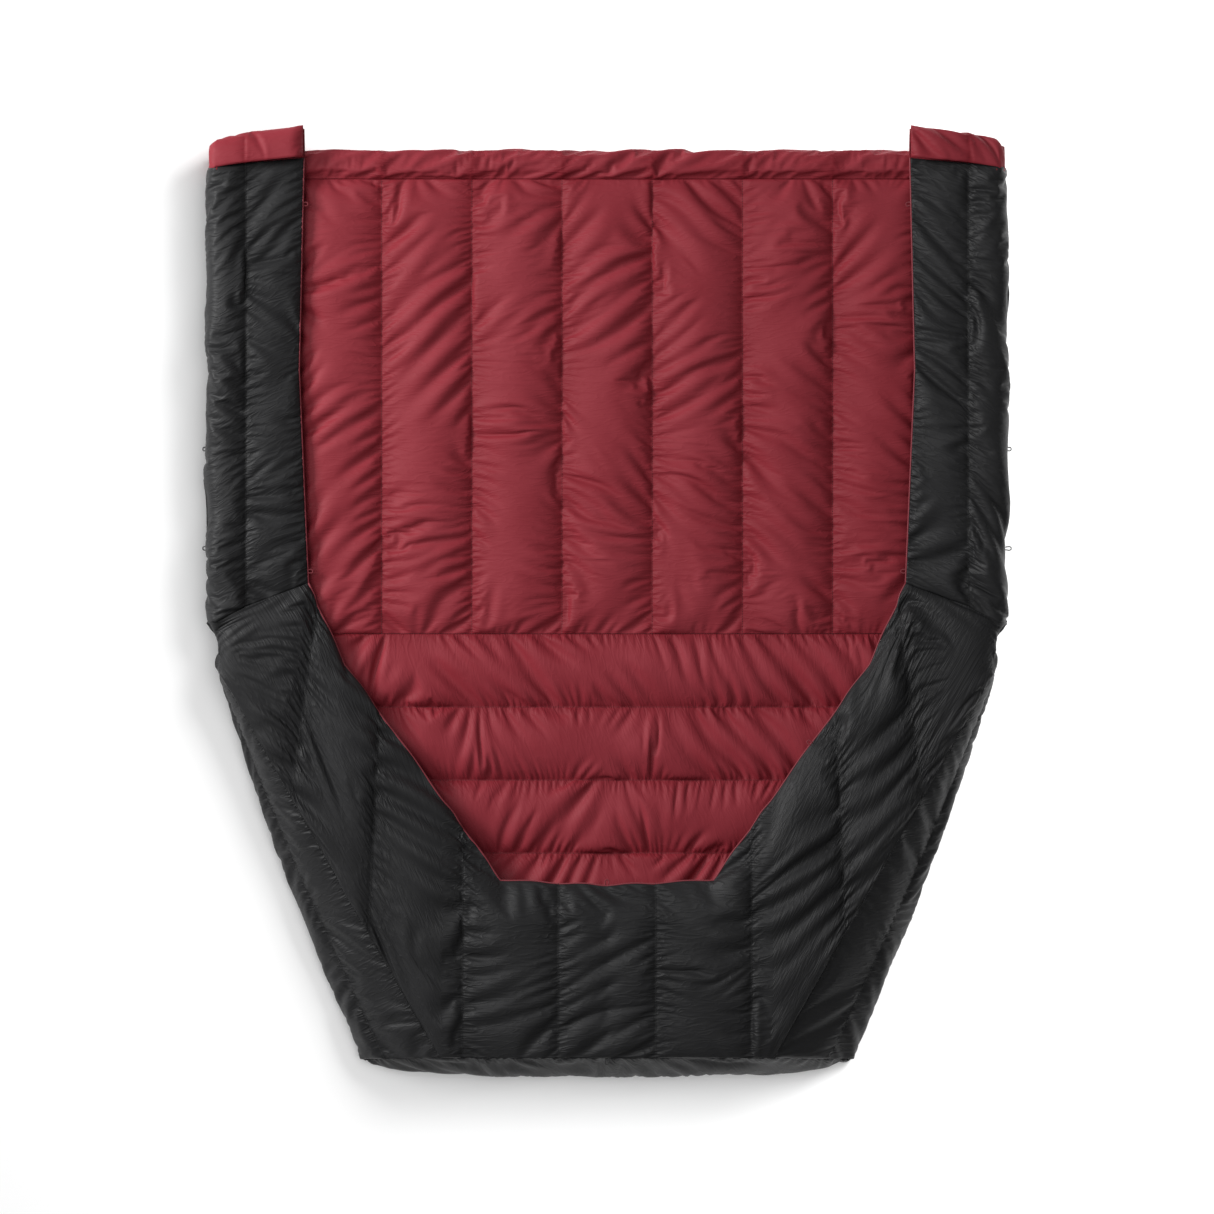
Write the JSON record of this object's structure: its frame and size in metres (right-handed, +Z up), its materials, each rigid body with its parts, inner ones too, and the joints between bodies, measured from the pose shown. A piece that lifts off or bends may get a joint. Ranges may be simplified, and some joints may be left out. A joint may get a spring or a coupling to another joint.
{
  "type": "camp quilt",
  "caption": "Two-person down camp quilt lying flat: baffled lining and shell, side wings folded in over the lining, and a sewn foot box.",
  "frame": {"origin": "middle of the quilt's box, on the ground that the shell lies on", "axes": "+Z up through the lining, +Y towards the head end, -Y towards the foot box, +X across the quilt"},
  "size_m": [1.6804, 1.978, 0.1561],
  "materials": {
    "shell_fabric": "satin",
    "lining_fabric": "satin",
    "piping": "satin",
    "red_cord": "matte",
    "dark_cord": "matte",
    "baffle_mesh": "matte",
    "down": "matte"
  },
  "bodies": {
    "quilt": {"shell_back": "shell_fabric", "foot_shell": "shell_fabric", "gusset_left": "shell_fabric", "gusset_right": "shell_fabric", "end_panel": "shell_fabric", "side_fold_left": "shell_fabric", "side_fold_right": "shell_fabric", "lining_upper": "lining_fabric", "lining_lower": "lining_fabric", "foot_lining": "lining_fabric", "collar_shell": "lining_fabric", "opening_piping": "piping", "opening_loops": "red_cord", "pad_loops_left": "dark_cord", "pad_loops_right": "dark_cord", "baffles_upper": "baffle_mesh", "baffles_lower": "baffle_mesh", "foot_baffles": "baffle_mesh", "fill_upper_1": "down", "fill_upper_2": "down", "fill_upper_3": "down", "fill_upper_4": "down", "fill_upper_5": "down", "fill_upper_6": "down", "fill_upper_7": "down", "fill_upper_8": "down", "fill_upper_9": "down", "fill_lower_1": "down", "fill_lower_2": "down", "fill_lower_3": "down", "fill_lower_4": "down", "fill_lower_5": "down", "fill_lower_6": "down", "foot_fill_1": "down", "foot_fill_2": "down", "foot_fill_3": "down", "foot_fill_4": "down", "foot_fill_5": "down", "foot_fill_6": "down", "foot_fill_7": "down", "foot_fill_8": "down", "foot_fill_9": "down", "collar_fill": "down", "gusset_fills": "down", "end_panel_fill": "down", "gusset_linings": "lining_fabric"},
    "wing_left": {"wing_left_shell": "shell_fabric", "wing_left_lining": "lining_fabric", "wing_left_fills": "down", "wing_left_baffle": "baffle_mesh", "wing_left_collar": "lining_fabric", "wing_left_piping": "piping", "wing_left_loops": "red_cord"},
    "wing_right": {"wing_right_shell": "shell_fabric", "wing_right_lining": "lining_fabric", "wing_right_fills": "down", "wing_right_baffle": "baffle_mesh", "wing_right_collar": "lining_fabric", "wing_right_piping": "piping", "wing_right_loops": "red_cord"}
  },
  "joints": [
    {"name": "wing_left_fold", "type": "hinge", "parent": "quilt", "child": "wing_left", "pos_m": [-0.806, 0, 0.052], "axis": [0, -1, 0], "range_deg": [0, 179], "deforming": ["side_fold_left", "pad_loops_left"]},
    {"name": "wing_right_fold", "type": "hinge", "parent": "quilt", "child": "wing_right", "pos_m": [0.806, 0, 0.052], "axis": [0, 1, 0], "range_deg": [0, 179], "deforming": ["side_fold_right", "pad_loops_right"]}
  ]
}
